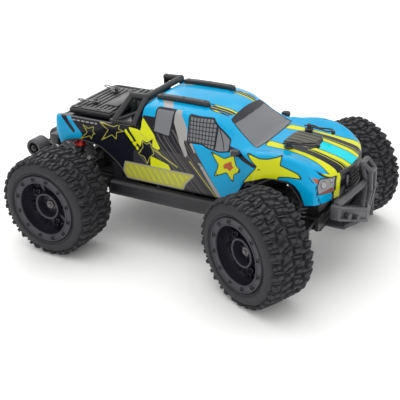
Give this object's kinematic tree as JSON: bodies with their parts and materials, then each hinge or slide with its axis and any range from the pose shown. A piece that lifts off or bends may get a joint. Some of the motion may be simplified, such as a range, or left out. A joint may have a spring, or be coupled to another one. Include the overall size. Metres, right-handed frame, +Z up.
{
  "type": "rc monster truck",
  "caption": "Electric radio-controlled monster truck with chunky tyres, coil-over suspension, front steering, painted pickup shell, bull bar and wheelie bar.",
  "frame": {"origin": "bottom centre of the bounding box: the tyres stand on z = 0, halfway between bumper and wheelie wheels", "axes": "+X points to the front of the truck, +Y to its left side, +Z up"},
  "size_m": [0.4906, 0.346, 0.1912],
  "materials": {
    "tyre_rubber": "soft matte black rubber",
    "rim_plastic": "satin black",
    "nylon_black": "satin moulded nylon",
    "steel_shaft": "satin",
    "red_anodised": "red anodised",
    "spring_steel": "black painted",
    "chassis_plastic": "satin charcoal",
    "bumper_grey": "satin dark grey",
    "electronics_plastic": "matte",
    "motor_can": "satin",
    "pinion_steel": "machined",
    "gear_nylon": "satin",
    "battery_case": "satin",
    "body_paint": "glossy painted polycarbonate",
    "bed_plastic": "satin"
  },
  "bodies": {
    "chassis": {"chassis_pan": "chassis_plastic", "front_gearbox": "nylon_black", "rear_gearbox": "nylon_black", "front_shock_tower": "nylon_black", "rear_shock_tower": "nylon_black", "front_bumper": "bumper_grey", "wheelie_bar": "nylon_black", "motor": "motor_can", "battery_pack": "battery_case", "electronics_box": "electronics_plastic", "steering_servo": "electronics_plastic", "body_shell": "body_paint", "bed_cage": "nylon_black", "bed_box": "bed_plastic", "body_trim": "nylon_black", "body_posts": "nylon_black"},
    "arm_fl": {"lower_arm_fl": "nylon_black"},
    "link_fl": {"upper_link_fl": "steel_shaft"},
    "caster_fl": {"caster_block_fl": "nylon_black"},
    "knuckle_fl": {"steering_knuckle_fl": "nylon_black"},
    "wheel_fl": {"tyre_fl": "tyre_rubber", "rim_fl": "rim_plastic"},
    "shaft_fl": {"half_shaft_fl": "steel_shaft"},
    "shock_fl": {"shock_body_fl": "red_anodised", "spring_fl": "spring_steel"},
    "rod_fl": {"shock_rod_fl": "steel_shaft"},
    "arm_fr": {"lower_arm_fr": "nylon_black"},
    "link_fr": {"upper_link_fr": "steel_shaft"},
    "caster_fr": {"caster_block_fr": "nylon_black"},
    "knuckle_fr": {"steering_knuckle_fr": "nylon_black"},
    "wheel_fr": {"tyre_fr": "tyre_rubber", "rim_fr": "rim_plastic"},
    "shaft_fr": {"half_shaft_fr": "steel_shaft"},
    "shock_fr": {"shock_body_fr": "red_anodised", "spring_fr": "spring_steel"},
    "rod_fr": {"shock_rod_fr": "steel_shaft"},
    "arm_rl": {"lower_arm_rl": "nylon_black"},
    "link_rl": {"upper_link_rl": "steel_shaft"},
    "carrier_rl": {"hub_carrier_rl": "nylon_black"},
    "wheel_rl": {"tyre_rl": "tyre_rubber", "rim_rl": "rim_plastic"},
    "shaft_rl": {"half_shaft_rl": "steel_shaft"},
    "shock_rl": {"shock_body_rl": "red_anodised", "spring_rl": "spring_steel"},
    "rod_rl": {"shock_rod_rl": "steel_shaft"},
    "arm_rr": {"lower_arm_rr": "nylon_black"},
    "link_rr": {"upper_link_rr": "steel_shaft"},
    "carrier_rr": {"hub_carrier_rr": "nylon_black"},
    "wheel_rr": {"tyre_rr": "tyre_rubber", "rim_rr": "rim_plastic"},
    "shaft_rr": {"half_shaft_rr": "steel_shaft"},
    "shock_rr": {"shock_body_rr": "red_anodised", "spring_rr": "spring_steel"},
    "rod_rr": {"shock_rod_rr": "steel_shaft"},
    "steering_link": {"steering_link": "nylon_black"},
    "tie_l": {"tie_rod_l": "steel_shaft"},
    "tie_r": {"tie_rod_r": "steel_shaft"},
    "centre_shaft": {"centre_shaft": "gear_nylon"},
    "pinion": {"motor_pinion": "pinion_steel"},
    "wheelie_wheels": {"wheelie_wheels": "nylon_black"}
  },
  "joints": [
    {"name": "front_left_arm_swing", "type": "hinge", "parent": "chassis", "child": "arm_fl", "pos_m": [0.16125, 0.028, 0.062], "axis": [1, 0, 0], "range_deg": [-8, 12], "stiffness_Nm_per_rad": 4.1, "springref_deg": -5.16},
    {"name": "front_left_link_swing", "type": "hinge", "parent": "chassis", "child": "link_fl", "pos_m": [0.16125, 0.028, 0.092], "axis": [1, 0, 0], "range_deg": [-8, 12]},
    {"name": "front_left_carrier_swing", "type": "hinge", "parent": "arm_fl", "child": "caster_fl", "pos_m": [0.16125, 0.094, 0.05], "axis": [1, 0, 0], "range_deg": [-12, 8]},
    {"name": "front_left_shaft_swing", "type": "hinge", "parent": "chassis", "child": "shaft_fl", "pos_m": [0.16125, 0.038, 0.077], "axis": [1, 0, 0], "range_deg": [-8, 12]},
    {"name": "front_left_shock_swing", "type": "hinge", "parent": "chassis", "child": "shock_fl", "pos_m": [0.17725, 0.04, 0.124], "axis": [1, 0, 0], "range_deg": [-2.8, 4.2]},
    {"name": "front_left_shock_travel", "type": "slide", "parent": "shock_fl", "child": "rod_fl", "axis": [0, 0.4789, -0.8779], "range_m": [-0.0087, 0.0058], "deforming": ["spring_fl"]},
    {"name": "steering_left", "type": "hinge", "parent": "caster_fl", "child": "knuckle_fl", "pos_m": [0.16125, 0.104, 0.065], "axis": [0, 0, 1], "range_deg": [-1.5, 48.5]},
    {"name": "front_left_wheel_spin", "type": "hinge", "parent": "knuckle_fl", "child": "wheel_fl", "pos_m": [0.16125, 0.104, 0.065], "axis": [0.3987, 0.9171, 0], "continuous": true},
    {"name": "front_right_arm_swing", "type": "hinge", "parent": "chassis", "child": "arm_fr", "pos_m": [0.16125, -0.028, 0.062], "axis": [-1, 0, 0], "range_deg": [-8, 12], "stiffness_Nm_per_rad": 4.1, "springref_deg": -5.16},
    {"name": "front_right_link_swing", "type": "hinge", "parent": "chassis", "child": "link_fr", "pos_m": [0.16125, -0.028, 0.092], "axis": [-1, 0, 0], "range_deg": [-8, 12]},
    {"name": "front_right_carrier_swing", "type": "hinge", "parent": "arm_fr", "child": "caster_fr", "pos_m": [0.16125, -0.094, 0.05], "axis": [-1, 0, 0], "range_deg": [-12, 8]},
    {"name": "front_right_shaft_swing", "type": "hinge", "parent": "chassis", "child": "shaft_fr", "pos_m": [0.16125, -0.038, 0.077], "axis": [-1, 0, 0], "range_deg": [-8, 12]},
    {"name": "front_right_shock_swing", "type": "hinge", "parent": "chassis", "child": "shock_fr", "pos_m": [0.17725, -0.04, 0.124], "axis": [-1, 0, 0], "range_deg": [-2.8, 4.2]},
    {"name": "front_right_shock_travel", "type": "slide", "parent": "shock_fr", "child": "rod_fr", "axis": [0, -0.4789, -0.8779], "range_m": [-0.0087, 0.0058], "deforming": ["spring_fr"]},
    {"name": "steering_right", "type": "hinge", "parent": "caster_fr", "child": "knuckle_fr", "pos_m": [0.16125, -0.104, 0.065], "axis": [0, 0, 1], "range_deg": [-1.5, 48.5]},
    {"name": "front_right_wheel_spin", "type": "hinge", "parent": "knuckle_fr", "child": "wheel_fr", "pos_m": [0.16125, -0.104, 0.065], "axis": [0.3987, 0.9171, 0], "continuous": true},
    {"name": "rear_left_arm_swing", "type": "hinge", "parent": "chassis", "child": "arm_rl", "pos_m": [-0.12275, 0.028, 0.062], "axis": [1, 0, 0], "range_deg": [-8, 12], "stiffness_Nm_per_rad": 4.1, "springref_deg": -5.16},
    {"name": "rear_left_link_swing", "type": "hinge", "parent": "chassis", "child": "link_rl", "pos_m": [-0.12275, 0.028, 0.092], "axis": [1, 0, 0], "range_deg": [-8, 12]},
    {"name": "rear_left_carrier_swing", "type": "hinge", "parent": "arm_rl", "child": "carrier_rl", "pos_m": [-0.12275, 0.094, 0.05], "axis": [1, 0, 0], "range_deg": [-12, 8]},
    {"name": "rear_left_shaft_swing", "type": "hinge", "parent": "chassis", "child": "shaft_rl", "pos_m": [-0.12275, 0.038, 0.077], "axis": [1, 0, 0], "range_deg": [-8, 12]},
    {"name": "rear_left_shock_swing", "type": "hinge", "parent": "chassis", "child": "shock_rl", "pos_m": [-0.13875, 0.04, 0.124], "axis": [1, 0, 0], "range_deg": [-2.8, 4.2]},
    {"name": "rear_left_shock_travel", "type": "slide", "parent": "shock_rl", "child": "rod_rl", "axis": [0, 0.4789, -0.8779], "range_m": [-0.0087, 0.0058], "deforming": ["spring_rl"]},
    {"name": "rear_left_wheel_spin", "type": "hinge", "parent": "carrier_rl", "child": "wheel_rl", "pos_m": [-0.12275, 0.104, 0.065], "axis": [0, 1, 0], "continuous": true},
    {"name": "rear_right_arm_swing", "type": "hinge", "parent": "chassis", "child": "arm_rr", "pos_m": [-0.12275, -0.028, 0.062], "axis": [-1, 0, 0], "range_deg": [-8, 12], "stiffness_Nm_per_rad": 4.1, "springref_deg": -5.16},
    {"name": "rear_right_link_swing", "type": "hinge", "parent": "chassis", "child": "link_rr", "pos_m": [-0.12275, -0.028, 0.092], "axis": [-1, 0, 0], "range_deg": [-8, 12]},
    {"name": "rear_right_carrier_swing", "type": "hinge", "parent": "arm_rr", "child": "carrier_rr", "pos_m": [-0.12275, -0.094, 0.05], "axis": [-1, 0, 0], "range_deg": [-12, 8]},
    {"name": "rear_right_shaft_swing", "type": "hinge", "parent": "chassis", "child": "shaft_rr", "pos_m": [-0.12275, -0.038, 0.077], "axis": [-1, 0, 0], "range_deg": [-8, 12]},
    {"name": "rear_right_shock_swing", "type": "hinge", "parent": "chassis", "child": "shock_rr", "pos_m": [-0.13875, -0.04, 0.124], "axis": [-1, 0, 0], "range_deg": [-2.8, 4.2]},
    {"name": "rear_right_shock_travel", "type": "slide", "parent": "shock_rr", "child": "rod_rr", "axis": [0, -0.4789, -0.8779], "range_m": [-0.0087, 0.0058], "deforming": ["spring_rr"]},
    {"name": "rear_right_wheel_spin", "type": "hinge", "parent": "carrier_rr", "child": "wheel_rr", "pos_m": [-0.12275, -0.104, 0.065], "axis": [0, 1, 0], "continuous": true},
    {"name": "steering_link_travel", "type": "slide", "parent": "chassis", "child": "steering_link", "axis": [0, -1, 0], "range_m": [-0.0007, 0.0214]},
    {"name": "front_left_tie_rod_swing", "type": "hinge", "parent": "steering_link", "child": "tie_l", "pos_m": [0.13725, 0.0447, 0.0855], "axis": [1, 0, 0], "range_deg": [-8, 12]},
    {"name": "front_right_tie_rod_swing", "type": "hinge", "parent": "steering_link", "child": "tie_r", "pos_m": [0.13725, -0.02396, 0.0855], "axis": [-1, 0, 0], "range_deg": [-8, 12]},
    {"name": "centre_shaft_spin", "type": "hinge", "parent": "chassis", "child": "centre_shaft", "pos_m": [0, 0, 0.077], "axis": [1, 0, 0], "continuous": true},
    {"name": "pinion_spin", "type": "hinge", "parent": "chassis", "child": "pinion", "pos_m": [0, -0.02683, 0.069], "axis": [1, 0, 0], "continuous": true},
    {"name": "wheelie_wheel_spin", "type": "hinge", "parent": "chassis", "child": "wheelie_wheels", "pos_m": [-0.23275, 0, 0.082], "axis": [0, 1, 0], "continuous": true}
  ],
  "couplings": [
    {"joint": "front_left_link_swing", "follows": "front_left_arm_swing", "ratio": 1},
    {"joint": "front_left_carrier_swing", "follows": "front_left_arm_swing", "ratio": -1},
    {"joint": "front_left_shaft_swing", "follows": "front_left_arm_swing", "ratio": 1},
    {"joint": "front_left_shock_swing", "follows": "front_left_arm_swing", "ratio": 0.345},
    {"joint": "front_left_shock_travel", "follows": "front_left_arm_swing", "m_per_rad": -0.040966},
    {"joint": "front_right_link_swing", "follows": "front_right_arm_swing", "ratio": 1},
    {"joint": "front_right_carrier_swing", "follows": "front_right_arm_swing", "ratio": -1},
    {"joint": "front_right_shaft_swing", "follows": "front_right_arm_swing", "ratio": 1},
    {"joint": "front_right_shock_swing", "follows": "front_right_arm_swing", "ratio": 0.345},
    {"joint": "front_right_shock_travel", "follows": "front_right_arm_swing", "m_per_rad": -0.040966},
    {"joint": "rear_left_link_swing", "follows": "rear_left_arm_swing", "ratio": 1},
    {"joint": "rear_left_carrier_swing", "follows": "rear_left_arm_swing", "ratio": -1},
    {"joint": "rear_left_shaft_swing", "follows": "rear_left_arm_swing", "ratio": 1},
    {"joint": "rear_left_shock_swing", "follows": "rear_left_arm_swing", "ratio": 0.345},
    {"joint": "rear_left_shock_travel", "follows": "rear_left_arm_swing", "m_per_rad": -0.040966},
    {"joint": "rear_right_link_swing", "follows": "rear_right_arm_swing", "ratio": 1},
    {"joint": "rear_right_carrier_swing", "follows": "rear_right_arm_swing", "ratio": -1},
    {"joint": "rear_right_shaft_swing", "follows": "rear_right_arm_swing", "ratio": 1},
    {"joint": "rear_right_shock_swing", "follows": "rear_right_arm_swing", "ratio": 0.345},
    {"joint": "rear_right_shock_travel", "follows": "rear_right_arm_swing", "m_per_rad": -0.040966},
    {"joint": "steering_right", "follows": "steering_left", "ratio": 1},
    {"joint": "steering_link_travel", "follows": "steering_left", "m_per_rad": 0.02519},
    {"joint": "front_left_tie_rod_swing", "follows": "front_left_arm_swing", "ratio": 1},
    {"joint": "front_right_tie_rod_swing", "follows": "front_right_arm_swing", "ratio": 1},
    {"joint": "pinion_spin", "follows": "centre_shaft_spin", "ratio": -3.375}
  ]
}
